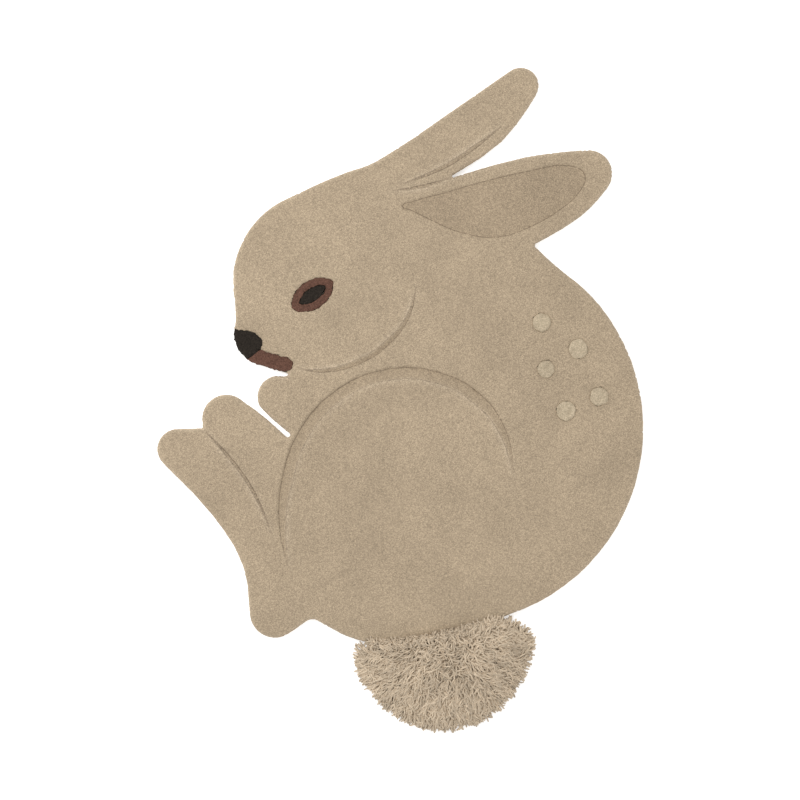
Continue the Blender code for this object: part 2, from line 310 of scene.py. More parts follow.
# Pile.
GRID_MARGIN = 2  # cells of a field's grid beyond its box, on each side
GRID_JITTER = 0.2  # how far a place of the grid strays, as a share of a cell
SNAP = 0.5  # places nearer to a rim or a carved line than this share of a cell move onto it
TUFT = 0.34 * MM  # how far the tufts' tips lie above and below the shorn surface
CLUSTER_PITCH = 6 * MM  # tufts rise and sink together in lumps of this size
CLUSTER = 0.12 * MM
SHEARING_PITCH = 55 * MM  # and the shears leave wide waves
SHEARING = 0.35 * MM
EDGE_TIPS = 0.35  # how uneven the tips on a rim or a carved line are, as a share of the others
LINE_REACH = 10 * MM  # how far from a carved line its distance is known
SHOULDER_WIDTH = 13 * MM  # how far from a slope's upper edge the painted highlight reaches
SHOULDER_HIGHLIGHT = 1.7  # and how strongly, beside a line of full strength
RIM_HIGHLIGHT_WIDTH = 8 * MM  # how far inside the rug's rim the painted highlight reaches
HIGHLIGHT_FALL = 1.5  # the power with which the painted highlight fades
WALL_ROWS = [(0.66, 0.5 * MM), (0.33, 0.6 * MM), (0, 0)]  # share of a wall's height, and how far it bulges
WALL_STRAY = 0.3 * MM  # how unevenly


def rounded(depth, radius):
    """How far a rounded rim lies below the flat top, at a depth inside the rim."""
    inside = np.clip(depth, 0, radius)
    return radius - np.sqrt(radius ** 2 - (radius - inside) ** 2)


def field_grid(box, cell, name):
    """Places on a slightly uneven grid over a box, and the grid's shape."""
    (x0, y0, _), (x1, y1, _) = box
    across = int((x1 - x0) / cell) + 2 * GRID_MARGIN + 1
    along = int((y1 - y0) / cell) + 2 * GRID_MARGIN + 1
    i, j = np.meshgrid(np.arange(across), np.arange(along), indexing="ij")
    x = x0 - GRID_MARGIN * cell + i.ravel() * cell
    y = y0 - GRID_MARGIN * cell + j.ravel() * cell
    xy = np.stack([x, y], axis=1)
    xy += draws(name).uniform(-GRID_JITTER, GRID_JITTER, xy.shape) * cell
    return xy, (across, along)


def follow_creases(xy, z, inside, crease, cell):
    """Moves the places of a grid that lie beside a carved line onto it.

    Returns which places these are, how near to a line each place is, how strong that line's painted shade is
    there, and how strong the painted highlight on the line's shoulder is."""
    on_crease = np.zeros(len(xy), bool)
    line, painted_line_shade, shoulder = np.zeros((3, len(xy)))
    if crease is None:
        return on_crease, line, painted_line_shade, shoulder
    index, distance = Places(crease[:, X_Y]).nearest(xy[inside])
    close = distance < SNAP * cell
    moved = inside[close]
    xy[moved] = crease[index[close], X_Y]
    z[moved] = crease[index[close], HEIGHT]
    on_crease[moved] = True
    distance[close] = 0
    line[inside] = np.clip(1 - distance / LINE_REACH, 0, 1)
    painted_line_shade[inside] = crease[index, STRENGTH]
    # Painted highlight on the shoulders beside the slopes' upper edges.
    upper = crease[crease[:, UPPER] > 0]
    index, distance = Places(upper[:, X_Y]).nearest(xy[inside])
    near = np.clip(1 - distance / SHOULDER_WIDTH, 0, 1) ** HIGHLIGHT_FALL
    shoulder[inside] = near * upper[index, STRENGTH] * SHOULDER_HIGHLIGHT
    return on_crease, line, painted_line_shade, shoulder


def pile_tips(name, xy):
    """How far the pile's tips lie above the shorn surface: tufts, clusters, and waves of the shears."""
    tufts = draws(name + "_tips").uniform(-1, 1, len(xy)) * TUFT
    clusters = value_noise(xy, CLUSTER_PITCH, "tufts") * CLUSTER
    return tufts + clusters + value_noise(xy, SHEARING_PITCH, "shearing") * SHEARING


def cell_corners(grid):
    """What a grid holds at the four corners of each of its cells, anticlockwise."""
    corners = (grid[:-1, :-1], grid[1:, :-1], grid[1:, 1:], grid[:-1, 1:])
    return np.stack([corner.ravel() for corner in corners], axis=1)


def grid_faces(inside, on_rim, on_crease, shape):
    """Quads over a field, and triangles in the cells that have one corner outside it, or whose second and
    fourth corners lie on a carved line, so that the line runs along an edge."""
    state = np.where(on_rim, 0, np.where(inside, 1, -1)).reshape(shape)
    numbers = cell_corners(np.arange(state.size).reshape(shape))
    states = cell_corners(state)
    out_count = (states < 0).sum(1)
    in_count = (states > 0).sum(1)
    quads = numbers[(out_count == 0) & (in_count > 0)]
    creased = on_crease[quads]
    turned = creased[:, 1] & creased[:, 3] & ~(creased[:, 0] & creased[:, 2])
    halves = [quads[turned][:, [0, 1, 3]], quads[turned][:, [1, 2, 3]]]
    cut_off = (out_count == 1) & (in_count > 0)
    rest = numbers[cut_off][states[cut_off] >= 0].reshape(-1, 3)
    return quads[~turned], np.concatenate([rest, *halves])


def one_sided(quads, tris, size):
    """The directed edges that only one face has."""
    edges = [quads[:, [i, (i + 1) % 4]] for i in range(4)]
    edges += [tris[:, [i, (i + 1) % 3]] for i in range(3)]
    edges = np.concatenate(edges)
    there = edges[:, 0] * size + edges[:, 1]
    back = edges[:, 1] * size + edges[:, 0]
    return edges[~np.isin(there, back)]


def walls(name, xy, z, outwards, border, bulging):
    """Rows of points and the faces of upright walls from a field's border down to the backing."""
    ring = np.unique(border)
    at = np.full(len(xy), -1)
    at[ring] = np.arange(len(ring))
    a, b = at[border[:, 0]], at[border[:, 1]]
    chance = draws(name + "_wall")
    rows, faces = [], []
    upper = ring
    base = len(xy)
    for share, bulge in WALL_ROWS:
        push = bulge + chance.uniform(-WALL_STRAY, WALL_STRAY, len(ring)) * (share > 0)
        row_xy = xy[ring] + outwards[ring] * push[:, None] * bulging
        rows.append(np.column_stack([row_xy, BACKING + (z[ring] - BACKING) * share]))
        lower = base + np.arange(len(ring))
        faces += np.column_stack([upper[b], upper[a], lower[a], lower[b]]).tolist()
        upper = lower
        base += len(ring)
    return rows, faces


def pile_field(name, box, cell, depth_at, top_at, material, slot_name, crease=None):
    """A field of pile: its shorn top over a grid that ends on the field's rim, walls and a flat bottom.

    depth_at gives the depth inside the rim and the direction outwards, and top_at the height of the top and
    the painted shade of the carved pile. Only the ground's walls bulge."""
    xy, shape = field_grid(box, cell, name)
    size = len(xy)
    depth, outwards = depth_at(xy)
    on_rim = np.abs(depth) < SNAP * cell
    xy[on_rim] += depth[on_rim, None] * outwards[on_rim]
    depth[on_rim] = 0
    inside = depth > 0

    z, painted_recess_shade = np.zeros((2, size))
    on_crease, line, painted_line_shade, shoulder = follow_creases(xy, z, np.flatnonzero(inside), crease, cell)
    free = np.flatnonzero((inside | on_rim) & ~on_crease)
    z[free], painted_recess_shade[free] = top_at(xy[free], depth[free])
    shoulder[painted_recess_shade > 0] = 0
    z += np.where(on_rim | on_crease, EDGE_TIPS, 1) * pile_tips(name, xy)

    quads, tris = grid_faces(inside, on_rim, on_crease, shape)
    border = one_sided(quads, tris, size)
    wall_rows, wall_faces = walls(name, xy, z, outwards, border, slot_name == "ground_wool")
    points = np.concatenate([np.column_stack([xy, z]), *wall_rows])
    used = np.unique(np.concatenate([quads.ravel(), tris.ravel(), np.arange(size, len(points))]))
    renumber = np.full(len(points), -1)
    renumber[used] = np.arange(len(used))
    faces = [renumber[face].tolist() for face in quads.tolist() + tris.tolist() + wall_faces]
    obj = mesh_piece(name, points[used], faces, material)

    below = np.zeros(len(points) - size)
    for label, values in (("painted_recess_shade", painted_recess_shade), ("line", line), ("painted_line_shade", painted_line_shade)):
        give_attribute(obj, label, np.concatenate([values, below])[used])
    # Painted highlight along the rug's rim and on the carved shoulders, where edges catch the light.
    painted_highlight = np.clip(1 - whole_rim.depth(points[used, :2])[0] / RIM_HIGHLIGHT_WIDTH, 0, 1) ** HIGHLIGHT_FALL
    on_top = used < size
    painted_highlight[on_top] = np.maximum(painted_highlight[on_top], shoulder[used[on_top]])
    give_attribute(obj, "painted_highlight", painted_highlight)
    close_bottom(obj)
    return obj


# Materials.
class Nodes:
    """A short way to write a material's node tree."""

    def __init__(self, name):
        self.material = bpy.data.materials.new(name)
        self.material.use_nodes = True
        self.tree = self.material.node_tree
        self.shader = self.tree.nodes["Principled BSDF"]

    def node(self, kind, inputs=(), **settings):
        made = self.tree.nodes.new(kind)
        for key, value in settings.items():
            setattr(made, key, value)
        for socket, value in dict(inputs).items():
            self.feed(made.inputs[socket], value)
        return made

    def feed(self, socket, value):
        """Links another node's output to a socket, or sets the socket's own value."""
        if isinstance(value, bpy.types.NodeSocket):
            self.tree.links.new(value, socket)
        else:
            socket.default_value = value

    def link(self, output, socket):
        self.tree.links.new(output, self.shader.inputs[socket])

    def place(self):
        return self.node("ShaderNodeTexCoord").outputs["Object"]

    def attribute(self, name):
        return self.node("ShaderNodeAttribute", attribute_name=name).outputs["Fac"]

    def noise(self, place, pitch, detail, roughness=0.5):
        inputs = {"Vector": place, "Scale": 1 / pitch, "Detail": detail, "Roughness": roughness}
        return self.node("ShaderNodeTexNoise", inputs).outputs["Fac"]

    def product(self, a, b):
        return self.node("ShaderNodeMath", {0: a, 1: b}, operation="MULTIPLY").outputs[0]

    def blend(self, factor, a, b, mode="MIX"):
        made = self.node("ShaderNodeMix", data_type="RGBA", blend_type=mode)
        self.feed(made.inputs[0], factor)
        for socket, colour in ((made.inputs[6], a), (made.inputs[7], b)):
            self.feed(socket, colour if isinstance(colour, bpy.types.NodeSocket) else (*colour, 1))
        return made.outputs[2]

    def tinted(self, factor, tone, tint):
        """The tone, multiplied by the tint as far as the factor says."""
        return self.blend(factor, tone, self.blend(1.0, tone, tint, "MULTIPLY"))

    def ramp(self, factor, low, high):
        """The factor stretched so that low becomes 0 and high becomes 1."""
        made = self.node("ShaderNodeMapRange", {"Value": factor, "From Min": low, "From Max": high})
        return made.outputs["Result"]

    def bump(self, height, strength, distance, under=None, inverted=False):
        inputs = {"Height": height, "Strength": strength, "Distance": distance}
        if under is not None:
            inputs["Normal"] = under
        return self.node("ShaderNodeBump", inputs, invert=inverted).outputs["Normal"]

    def surface(self, roughness, specular, sheen, sheen_roughness, sheen_colour):
        constants = {"Roughness": roughness, "Specular IOR Level": specular, "Sheen Weight": sheen,
                     "Sheen Roughness": sheen_roughness, "Sheen Tint": (*sheen_colour, 1)}
        for socket, value in constants.items():
            self.shader.inputs[socket].default_value = value


def linear(*srgb):
    """Linear colour of an sRGB one given from 0 to 255."""
    return tuple(((c / 255 + 0.055) / 1.055) ** 2.4 for c in srgb)


def scaled(colour, factor):
    return tuple(min(1, c * factor) for c in colour)


NOISE_SPAN = (0.3, 0.7)  # where nearly all values of a noise texture lie

YARN_END = 1.4 * MM  # width of a cut end of yarn in the shorn pile
MOTTLE_PITCH = 36 * MM
MOTTLE = 0.035  # how much lighter and darker the pile is from mottle to mottle
PATCH_PITCH = 110 * MM
PATCH = 0.055
END_HOLLOW = 0.5 * MM
PILE_FIBRE = 0.8 * MM
RECESS_SHADE_TINT = (0.62, 0.59, 0.56)  # painted shade in carved hollows and on slopes: what the deepest of it keeps of the pile's colour
LINE_SHADE_TINT = (0.42, 0.4, 0.38)  # painted shade in a carved line: what it keeps of the pile's colour
LINE_WIDTH = (0.2 * MM, 1.05 * MM)  # how far out a carved line's painted shade is full, and where it ends
HIGHLIGHT_TINT = (1.16, 1.18, 1.22)  # painted highlight at the rims and on the carved shoulders: how much paler the pile is there


def pile_material(name, colour, contrast, sheen):
    """Shorn wool pile: yarn ends of slightly different shades, mottled patches and a soft bloom, with painted
    shade in hollows and carved lines, and painted highlights at rims and shoulders.
    """
    made = Nodes(name)
    at = made.place()
    ends = made.node("ShaderNodeTexVoronoi", {"Vector": at, "Scale": 1 / YARN_END}, feature="F1")
    speckle = made.node("ShaderNodeSeparateColor", {"Color": ends.outputs["Color"]}).outputs["Red"]
    fine = made.noise(at, YARN_END, detail=2, roughness=0.7)
    mottle = made.noise(at, MOTTLE_PITCH, detail=2, roughness=0.6)
    patch = made.noise(at, PATCH_PITCH, detail=1)
    tone = made.blend(speckle, scaled(colour, 1 - contrast), scaled(colour, 1 + contrast))
    for factor, spread in ((fine, contrast), (mottle, MOTTLE), (patch, PATCH)):
        shade = made.blend(made.ramp(factor, *NOISE_SPAN), (1 - spread,) * 3, (1 + spread,) * 3)
        tone = made.blend(1.0, tone, shade, "MULTIPLY")
    # Painted shade in carved hollows, on slopes and between a spot's clumps.
    tone = made.tinted(made.attribute("painted_recess_shade"), tone, RECESS_SHADE_TINT)
    full, end = LINE_WIDTH
    line = made.ramp(made.attribute("line"), 1 - end / LINE_REACH, 1 - full / LINE_REACH)
    # Painted shade along the carved lines.
    tone = made.tinted(made.product(line, made.attribute("painted_line_shade")), tone, LINE_SHADE_TINT)
    # Painted highlight at the rims and shoulders.
    tone = made.tinted(made.attribute("painted_highlight"), tone, HIGHLIGHT_TINT)
    made.link(tone, "Base Color")
    hollows = made.bump(ends.outputs["Distance"], strength=0.5, distance=END_HOLLOW, inverted=True)
    made.link(made.bump(fine, strength=0.6, distance=PILE_FIBRE, under=hollows), "Normal")
    made.surface(roughness=0.95, specular=0.12, sheen=sheen, sheen_roughness=0.6,
                 sheen_colour=scaled(colour, 1.4))
    return made.material


FUZZ_PITCH = 1.2 * MM
FUZZ_TONES = (0.86, 1.1)
STRAND_TONES = (0.74, 1.2)  # the darkest and the lightest strand, as shares of the yarn's colour
ROOT_SHADE_TINT = (0.58, 0.52, 0.45)  # painted shade at a strand's root, down in the pile: what the root keeps of the yarn's colour
ROOT_END = 0.6  # share of a strand's length over which that fades
YARN_FIBRE = 0.5 * MM


def yarn_material(name, colour):
    """Spun yarn of the tail: each strand of its own tone, with painted shade towards its root, and twisted
    plies.
    """
    made = Nodes(name)
    fuzz = made.noise(made.place(), FUZZ_PITCH, detail=3)
    dark, light = STRAND_TONES
    tone = made.blend(made.attribute("shade"), scaled(colour, dark), scaled(colour, light))
    root = tuple(c * keep for c, keep in zip(colour, ROOT_SHADE_TINT))
    # Painted shade towards the strands' roots.
    tone = made.blend(made.ramp(made.attribute("rise"), 0.0, ROOT_END), root, tone)
    dark, light = FUZZ_TONES
    mottled = made.blend(made.ramp(fuzz, *NOISE_SPAN), (dark,) * 3, (light,) * 3)
    made.link(made.blend(1.0, tone, mottled, "MULTIPLY"), "Base Color")
    on_strand = made.node("ShaderNodeUVMap", uv_map="strand").outputs["UV"]
    twist = made.node("ShaderNodeTexWave",
                      {"Vector": on_strand, "Scale": 1.0, "Distortion": 1.0, "Detail": 2},
                      wave_type="BANDS", bands_direction="DIAGONAL")
    plies = made.bump(twist.outputs["Fac"], strength=0.5, distance=YARN_FIBRE)
    made.link(made.bump(fuzz, strength=0.6, distance=YARN_FIBRE, under=plies), "Normal")
    made.surface(roughness=0.9, specular=0.15, sheen=0.3, sheen_roughness=0.5,
                 sheen_colour=scaled(colour, 1.3))
    return made.material


WEAVE = 4 * MM
CLOTH_BUMP = 0.4 * MM


def canvas_material(name):
    """Cotton backing cloth: a plain weave."""
    made = Nodes(name)
    at = made.place()
    inputs = {"Vector": at, "Scale": 1 / WEAVE, "Distortion": 0.4, "Detail": 1}
    weave = [made.node("ShaderNodeTexWave", inputs, bands_direction=direction) for direction in ("X", "Y")]
    crossing = made.product(*(threads.outputs["Fac"] for threads in weave))
    made.link(made.blend(crossing, linear(176, 166, 146), linear(214, 205, 186)), "Base Color")
    made.link(made.bump(crossing, strength=0.6, distance=CLOTH_BUMP), "Normal")
    made.shader.inputs["Roughness"].default_value = 0.9
    return made.material


ground_wool = pile_material("ground_wool_pile", linear(165, 148, 125), contrast=0.26, sheen=0.1)
spot_wool = pile_material("spot_wool_pile", linear(179, 164, 140), contrast=0.22, sheen=0.1)
brown_wool = pile_material("brown_wool_pile", linear(94, 67, 56), contrast=0.34, sheen=0.08)
black_wool = pile_material("black_wool_pile", linear(42, 37, 32), contrast=0.4, sheen=0.04)
root_wool = pile_material("tail_root_pile", linear(160, 143, 120), contrast=0.2, sheen=0.05)
tail_wool = yarn_material("tail_wool_yarn", linear(199, 182, 159))
canvas = canvas_material("backing_canvas")

# The shorn fields.
GROUND_CELL = 2.56 * MM
INLAY_CELL = 1.3 * MM
RAGGED = 2.1 * MM  # how far tufts at a border stray over it, at most
RAGGED_WAVES = [(3.2 * MM, 0.6, "stray"), (8 * MM, 0.4, "stray wide")]  # pitch, share and name of each noise
SPOT_RAGGED = 0.6  # how uneven the spots' rims are, as a share of the other borders
RUG_RAGGED = 0.14  # and how uneven the rug's own rim is
BORDER_GAP = 0.2 * MM
BORDER_ROUND = 0.9 * MM
SPOT_BORDER = 0.2 * MM  # how far the ground falls off beside a spot, at most
NEARBY = 12 * MM
POCKET = BACKING + 1 * MM  # where the CAD's top is lower, there is a pocket or the tongue under the tail
LEVEL_RECESS_SHADE = 0.4  # how dark the painted shade is on level pile that is shorn down by CARVE_DEPTH
SLOPE_SHADE = 0.2  # and how dark the painted shade on slopes is
SLOPE_FULL = 5  # slopes have that painted shade in full from a fifth of CARVE_DEPTH on
NO_SHADE_RIM = 1.5 * EDGE_ROUND  # nearer to the rug's rim the pile gets no painted shade
TAIL_SLOPE = 14 * MM  # how far from the tail the shorn pile starts to fall off to it
TAIL_DIP = 5 * MM


def ragged(xy):
    """How far tufts at a border stray over it."""
    return RAGGED * sum(share * value_noise(xy, pitch, name) for pitch, share, name in RAGGED_WAVES)


def near_box(xy, name):
    low, high = (np.array(corner[:2]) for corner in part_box(name))
    return ((xy > low - NEARBY) & (xy < high + NEARBY)).all(1)


def ground_depth(xy):
    depth, outwards = whole_rim.depth(xy)
    depth = depth + RUG_RAGGED * ragged(xy)
    for name, rim in inlay_rims.items():
        near = np.flatnonzero(near_box(xy, name))
        depth_in_inlay, inlay_outwards = rim.depth(xy[near])
        uneven = ragged(xy[near]) * (1 if name in INLAYS else SPOT_RAGGED)
        beyond = -depth_in_inlay - (BORDER_GAP if name in INLAYS else 0) - uneven
        closer = beyond < depth[near]
        depth[near[closer]] = beyond[closer]
        outwards[near[closer]] = -inlay_outwards[closer]
    return depth, outwards


def ground_top(xy, depth):
    """The ground's top with its carved forms, rounded at the rug's rim, the tail and the borders, and the
    painted shade of its hollows and slopes.
    """
    top, level = tops("rug_ground", xy)
    top[top < POCKET] = RUG_HEIGHT
    from_rim = whole_rim.depth(xy)[0]
    cut = (RUG_HEIGHT - top) / CARVE_DEPTH
    # Painted shade in the carved hollows and on the slopes.
    painted_shade = np.where(level, cut * LEVEL_RECESS_SHADE, np.clip(cut * SLOPE_FULL, 0, 1) * SLOPE_SHADE)
    painted_shade[from_rim < NO_SHADE_RIM] = 0
    top = np.minimum(top, RUG_HEIGHT - rounded(from_rim, EDGE_ROUND))
    from_tail = -tail_rim.depth(xy)[0]
    top = np.minimum(top, RUG_HEIGHT - rounded(from_tail, TAIL_SLOPE) * TAIL_DIP / TAIL_SLOPE)
    drop = rounded(depth, BORDER_ROUND)
    for name in SPOTS:
        near = near_box(xy, name)
        drop[near] = np.minimum(drop[near], SPOT_BORDER)
    return np.minimum(top, RUG_HEIGHT - drop), painted_shade


def inlay_depth(name, uneven=1):
    """How far inside an inlaid field's ragged rim each place lies."""
    def depth_at(xy):
        depth, outwards = inlay_rims[name].depth(xy)
        return depth + uneven * ragged(xy), outwards
    return depth_at


def inlay_top(xy, depth):
    """A top as high as the ground's, rounded at the rug's rim and at the border."""
    from_rim = whole_rim.depth(xy)[0]
    top = RUG_HEIGHT - rounded(from_rim, EDGE_ROUND)
    return np.minimum(top, RUG_HEIGHT - rounded(depth, BORDER_ROUND)), 0


SPOT_ROUND = 6 * MM
SPOT_SINK = 0.3 * MM
SPOT_MIDDLE = 5 * MM  # how far the middle of its clumps may lie from a spot's own
SPOT_CLUMPS = 17  # clumps of tufts round a spot
SPOT_CLUMP_LENGTH = 9 * MM
SPOT_CLUMP = 0.8 * MM  # how far they lie above and below the dome
CLUMP_START = 0.5  # share of a clump's length from the middle over which they rise
CLUMP_HOLLOW_SHADE = 0.5  # how dark the painted shade in a hollow between clumps is when it is 1 mm deep


def spot_top(name):
    """A low dome of pile whose clumps run from near its middle to its rim."""
    low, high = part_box(name)
    middle = ((low + high) / 2)[:2] + draws(name + "_middle").uniform(-SPOT_MIDDLE, SPOT_MIDDLE, 2)

    def top_at(xy, depth):
        dome = 1 - rounded(depth, SPOT_ROUND) / SPOT_ROUND
        out = xy - middle
        turn = np.arctan2(out[:, 1], out[:, 0]) / math.tau * SPOT_CLUMPS
        from_middle = np.linalg.norm(out, axis=1) / SPOT_CLUMP_LENGTH
        clumps = value_noise(np.column_stack([turn, from_middle]), 1, name + "_clumps")
        clumps = clumps * np.clip(from_middle / CLUMP_START, 0, 1) * SPOT_CLUMP
        top = RUG_HEIGHT + (SPOT_HEIGHT - RUG_HEIGHT) * dome + clumps - SPOT_SINK
        # Painted shade in the hollows between the clumps.
        return top, np.clip(-clumps / MM, 0, 1) * CLUMP_HOLLOW_SHADE
    return top_at


ground = pile_field("ground_pile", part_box("rug_ground"), GROUND_CELL, ground_depth, ground_top, ground_wool,
                    "ground_wool", creases("rug_ground", whole_rim))
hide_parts("rug_ground")
inlay_materials = {"eye_rim": (brown_wool, "brown_wool"), "eye_pupil": (black_wool, "black_wool"),
                   "nose": (black_wool, "black_wool"), "mouth": (brown_wool, "brown_wool")}
for node_name, (material, slot_name) in inlay_materials.items():
    piece = pile_field(f"{node_name}_pile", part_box(node_name), INLAY_CELL, inlay_depth(node_name),
                       inlay_top, material, slot_name)
    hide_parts(node_name)
for node_name in SPOTS:
    piece = pile_field(f"{node_name}_pile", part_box(node_name), INLAY_CELL,
                       inlay_depth(node_name, SPOT_RAGGED), spot_top(node_name), spot_wool, "spot_wool")
    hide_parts(node_name)

# The backing cloth under all of it: the footprint of the CAD's ground, tongue under the tail included.
ON_FLOOR = 0.01 * MM
CLOTH_GAP = 0.1 * MM  # between the cloth and the fields' bottoms


def backing_cloth():
    tri = triangles("rug_ground")
    bottom = tri[(tri[:, :, 2] < ON_FLOOR).all(1)]
    form = bmesh.new()
    for corners in bottom:
        form.faces.new([form.verts.new(corner) for corner in corners])
    bmesh.ops.remove_doubles(form, verts=form.verts, dist=SAME_PLACE)
    area = sum(face.calc_area() for face in form.faces)
    made = bmesh.ops.extrude_face_region(form, geom=list(form.faces))
    lifted = [item for item in made["geom"] if isinstance(item, bmesh.types.BMVert)]
    bmesh.ops.translate(form, verts=lifted, vec=(0, 0, BACKING - CLOTH_GAP))
    bmesh.ops.recalc_face_normals(form, faces=form.faces)
    mesh = bpy.data.meshes.new("backing_cloth")
    form.to_mesh(mesh)
    form.free()
    mesh.materials.append(canvas)
    obj = bpy.data.objects.new("backing_cloth", mesh)
    bpy.context.scene.collection.objects.link(obj)
    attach(obj, "root")
    return obj, area


backing, footprint = backing_cloth()

# The tail's surface.
RIM_DROOP = 24 * MM  # how far out from the dense part's rim a lock comes down to the floor
DROOP_POWER = 1.5
GROUND_REACH = 2 * MM  # over the ground, and this far beyond its rim, the locks lie on the shorn pile
ON_PILE = RUG_HEIGHT + 1.5 * MM


def tail_surface(xy):
    """Height of the tail's surface: the CAD's lumpy top, falling to the floor beyond its rim."""
    depth, _ = tail_rim.depth(xy)
    top = tops("tail_shag", xy)[0]
    fall = TAIL_LEVEL * (1 - np.clip(-depth / RIM_DROOP, 0, 1) ** DROOP_POWER)
    over_ground = whole_rim.depth(xy)[0] > -GROUND_REACH
    fall = np.where(over_ground, np.maximum(fall, ON_PILE), fall)
    return np.where(depth > 0, np.maximum(top, TAIL_LEVEL), fall)


# The tail's strands: where they are rooted.
STRANDS = 2900
ROOT_DEPTH = 1.5 * MM  # how far inside the tail's rim they are rooted, at least
EDGE_STRANDS = 260  # more strands along the edge of the shorn pile
EDGE_BAND = 6 * MM
EDGE_REACH = 3 * MM  # that edge runs where the tail's rim is over the ground or this near to it
UPWARDS = 0.6  # and where the rim faces +Y, the ground's side, by at least this
DENSER = 0.97  # how the pitch of places shrinks until there are enough of them


def scattered(count, low, high, chance, accept):
    """About evenly spread places in a box, as many as asked for, where accept says so."""
    area = (high[0] - low[0]) * (high[1] - low[1])
    pitch = math.sqrt(area / count)
    while True:
        xs, ys = np.arange(low[0], high[0], pitch), np.arange(low[1], high[1], pitch)
        xy = np.stack(np.meshgrid(xs, ys), axis=-1).reshape(-1, 2)
        xy = xy + chance.uniform(-0.5, 0.5, xy.shape) * pitch
        xy = xy[accept(xy)]
        if len(xy) >= count:
            return chance.permutation(xy)[:count]
        pitch *= DENSER


def strand_roots(chance):
    """Roots all over the tail, and more of them along the edge of the shorn pile."""
    low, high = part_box("tail_shag")
    roots = scattered(STRANDS, low, high, chance, lambda xy: tail_rim.depth(xy)[0] > ROOT_DEPTH)
    over_ground = whole_rim.depth(tail_rim.points)[0] > -EDGE_REACH
    edge = np.flatnonzero((tail_rim.outwards[:, 1] > UPWARDS) & over_ground)
    edge = chance.choice(edge, EDGE_STRANDS)
    inwards = chance.uniform(0, EDGE_BAND, EDGE_STRANDS)[:, None]
    return np.concatenate([roots, tail_rim.points[edge] - tail_rim.outwards[edge] * inwards])


# Which way the strands lean.
PARTING = 0.85  # how far up in the tail's box the pile parts
INNER_RADII = (18.75 * MM, 93.75 * MM)  # strands lean any way up to the first, and less so up to the second
FREE_DEPTH = 14 * MM  # up to this depth strands lean outwards at the free rim
GROUND_DEPTH = 12 * MM  # and any way at the edge of the shorn pile
CLUMP_LEAN = (11 * MM, 0.7)  # pitch of the clumps, and how far they turn, in radians
LOCK_LEAN = (9 * MM, 0.8)  # the same for the locks at the free rim
LEAN = 0.3  # how far single strands turn from that


def strand_headings(chance, roots, out, inner, free_rim, at_ground, outwards):
    """The pile parts from the middle outwards, in clumps that lean this way and that."""
    pitch, turn = CLUMP_LEAN
    heading = np.arctan2(out[:, 1], out[:, 0]) + value_noise(roots, pitch, "clump") * turn
    heading += chance.uniform(-math.pi, math.pi, len(roots)) * inner
    pitch, turn = LOCK_LEAN
    rim_heading = np.arctan2(outwards[:, 1], outwards[:, 0]) + value_noise(roots, pitch, "lock") * turn
    heading = np.where(free_rim, rim_heading, heading)
    heading = np.where(at_ground, chance.uniform(-math.pi, math.pi, len(roots)), heading)
    return heading + chance.normal(0, 1, len(roots)) * LEAN


# The strands' own shape and shade.
STRAND_SIDES = 4
STRAND_RINGS = 8
STRAND_LENGTH = (22 * MM, 36 * MM)
RIM_STRAND = 0.75  # length of the strands at the rim, as a share of the others'
EDGE_STRAND = 0.5  # and of those along the edge of the shorn pile
INNER_STRAND = 0.35  # how much shorter those at the parting are
STRAND_RADIUS = (1.3 * MM, 1.9 * MM)
WAVE_HEIGHT = (0.3 * MM, 1.1 * MM)
WAVE_LENGTH = (11 * MM, 20 * MM)
BEND = 0.35  # in radians, how far a strand turns along its length
LAYERS = (-2.5 * MM, 2 * MM)  # how far under and over its layer a strand lies
RIPPLE = 0.9 * MM
RIPPLE_PHASE = 1.7  # its phase and its turns, as multiples of the wave's
RIPPLE_TURNS = 0.8
REACH = (0.16, 0.66)  # how far out a strand runs, evenly and more and more, as shares of its length
REACH_POWER = 1.5
FULL_WAVE = 1 / 3  # share of its length from which on its waves have their full height
UPRIGHT = 0.5  # share of its length over which it rises from its root
ROOT_SINK = 10 * MM  # how far a root lies under the surface
STRAND_SINK = 1.5 * MM
CLEAR = 1.02  # a strand's axis lies this many radii over the floor, at least
SHADES = (0.22, 0.3)  # how much shades differ from strand to strand, and from clump to clump
SHADE_PITCH = 13 * MM
END_TAPER = [0.96, 0.72]  # width of the last rings
TWIST_RUN = 4  # how far the plies' twist runs along a strand
UP = np.array([0.0, 0.0, 1.0])
NO_LENGTH = 1e-9


def strand_lines(roots, radius, heading, length, wave, wave_turns, phase, bend, layer):
    """Centre lines that rise from the roots and then lie on the tail's surface, in waves."""
    t = np.linspace(0, 1, STRAND_RINGS)[None, :]
    even, growing = REACH
    reach = length[:, None] * (even * t + growing * t ** REACH_POWER)
    angle = heading[:, None] + bend[:, None] * t
    across = wave[:, None] * np.sin(phase[:, None] + wave_turns[:, None] * t)
    across = across * np.clip(t / FULL_WAVE, 0, 1)
    x = roots[:, :1] + np.cos(angle) * reach - np.sin(angle) * across
    y = roots[:, 1:] + np.sin(angle) * reach + np.cos(angle) * across
    surface = tail_surface(np.stack([x.ravel(), y.ravel()], axis=1)).reshape(x.shape)
    lifted = np.sin(np.clip(t / UPRIGHT, 0, 1) * math.pi / 2)
    ripple = RIPPLE * np.sin(phase[:, None] * RIPPLE_PHASE + wave_turns[:, None] * RIPPLE_TURNS * t)
    z = surface - ROOT_SINK * (1 - lifted) - STRAND_SINK + layer[:, None] + ripple
    z = np.maximum(z, radius[:, None] * CLEAR)
    return np.stack([x, y, z], axis=-1)


